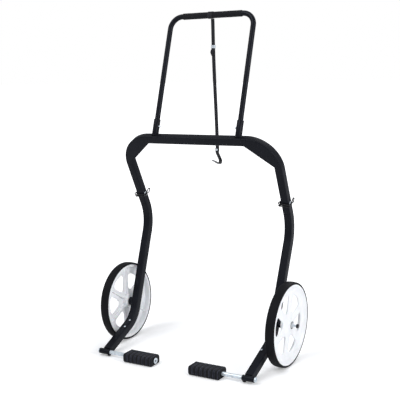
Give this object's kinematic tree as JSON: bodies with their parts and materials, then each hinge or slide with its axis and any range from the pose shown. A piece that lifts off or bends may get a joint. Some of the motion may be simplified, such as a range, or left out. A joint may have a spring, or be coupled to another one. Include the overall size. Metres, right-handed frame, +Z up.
{
  "type": "two-wheeled hand trolley",
  "caption": "Two-wheeled hand trolley: raked tubular frame, hooped push handle, two padded lifting pegs and a hook strap hanging from the grip.",
  "frame": {"origin": "on the floor, under the middle of the trolley's width and length, cord left out", "axes": "+X across the trolley to its right-hand side as the load sees it, -Y the front where the pegs are, +Z up"},
  "size_m": [0.8048, 0.41, 1.3006],
  "materials": {
    "black_steel": "satin powder coat",
    "black_wire": "satin coated wire",
    "zinc": "bright zinc plate",
    "tyre_rubber": "matt rubber",
    "pad_rubber": "matt ribbed rubber",
    "grip_foam": "matt foam",
    "white_plastic": "satin moulded plastic",
    "grey_plastic": "matt",
    "black_plastic": "matt",
    "webbing": "woven webbing"
  },
  "bodies": {
    "frame": {"axle_boss_left": "black_steel", "axle_boss_right": "black_steel", "axle_cap_left": "black_plastic", "axle_cap_right": "black_plastic", "axle_left": "zinc", "axle_right": "zinc", "clamp_screw_left": "zinc", "clamp_screw_right": "zinc", "corner_left": "black_steel", "corner_right": "black_steel", "elbow_bolt_high_left": "zinc", "elbow_bolt_high_right": "zinc", "elbow_bolt_low_left": "zinc", "elbow_bolt_low_right": "zinc", "foot_collar_left": "black_steel", "foot_collar_right": "black_steel", "handle_socket_left": "black_steel", "handle_socket_right": "black_steel", "lock_pin_left": "zinc", "lock_pin_right": "zinc", "lower_leg_left": "black_steel", "lower_leg_right": "black_steel", "peg_screw_left": "black_plastic", "peg_screw_right": "black_plastic", "pin_eyelet_left": "zinc", "pin_eyelet_right": "zinc", "top_bar": "black_steel", "upper_leg_left": "black_steel", "upper_leg_right": "black_steel"},
    "handle": {"foam_grip_left": "grip_foam", "foam_grip_right": "grip_foam", "handle_tube": "black_steel", "hook_rivet": "zinc", "strap": "webbing", "strap_buckle": "zinc", "strap_hook": "black_steel", "strap_loop": "webbing"},
    "wheel_left": {"hub_bush_left": "grey_plastic", "tyre_left": "tyre_rubber", "wheel_hub_left": "white_plastic"},
    "wheel_right": {"hub_bush_right": "grey_plastic", "tyre_right": "tyre_rubber", "wheel_hub_right": "white_plastic"},
    "peg_left": {"peg_nut_left": "zinc", "peg_pad_left": "pad_rubber", "peg_rod_left": "zinc", "peg_washer_left": "zinc"},
    "peg_right": {"peg_nut_right": "zinc", "peg_pad_right": "pad_rubber", "peg_rod_right": "zinc", "peg_washer_right": "zinc"},
    "bail_left": {"wire_bail_left": "black_wire"},
    "bail_right": {"wire_bail_right": "black_wire"}
  },
  "joints": [
    {"name": "wheel_spin_left", "type": "hinge", "parent": "frame", "child": "wheel_left", "pos_m": [-0.30952, 0.04725, 0.15861], "axis": [0.9997, 0, 0.0241], "continuous": true},
    {"name": "wheel_spin_right", "type": "hinge", "parent": "frame", "child": "wheel_right", "pos_m": [0.30952, 0.04725, 0.15861], "axis": [0.9997, 0, -0.0241], "continuous": true},
    {"name": "bail_swing_left", "type": "hinge", "parent": "frame", "child": "bail_left", "pos_m": [-0.34046, 0.12968, 0.59156], "axis": [0.0218, 0.4225, -0.9061], "range_deg": [0, 150]},
    {"name": "bail_swing_right", "type": "hinge", "parent": "frame", "child": "bail_right", "pos_m": [0.29946, 0.1293, 0.59237], "axis": [-0.0218, 0.4225, -0.9061], "range_deg": [0, 150]},
    {"name": "peg_slide_left", "type": "slide", "parent": "frame", "child": "peg_left", "axis": [-1, 0, 0], "range_m": [0, 0.06]},
    {"name": "peg_slide_right", "type": "slide", "parent": "frame", "child": "peg_right", "axis": [1, 0, 0], "range_m": [0, 0.06]},
    {"name": "handle_height", "type": "slide", "parent": "frame", "child": "handle", "axis": [0, 0.309, 0.9511], "range_m": [0, 0.02]}
  ]
}
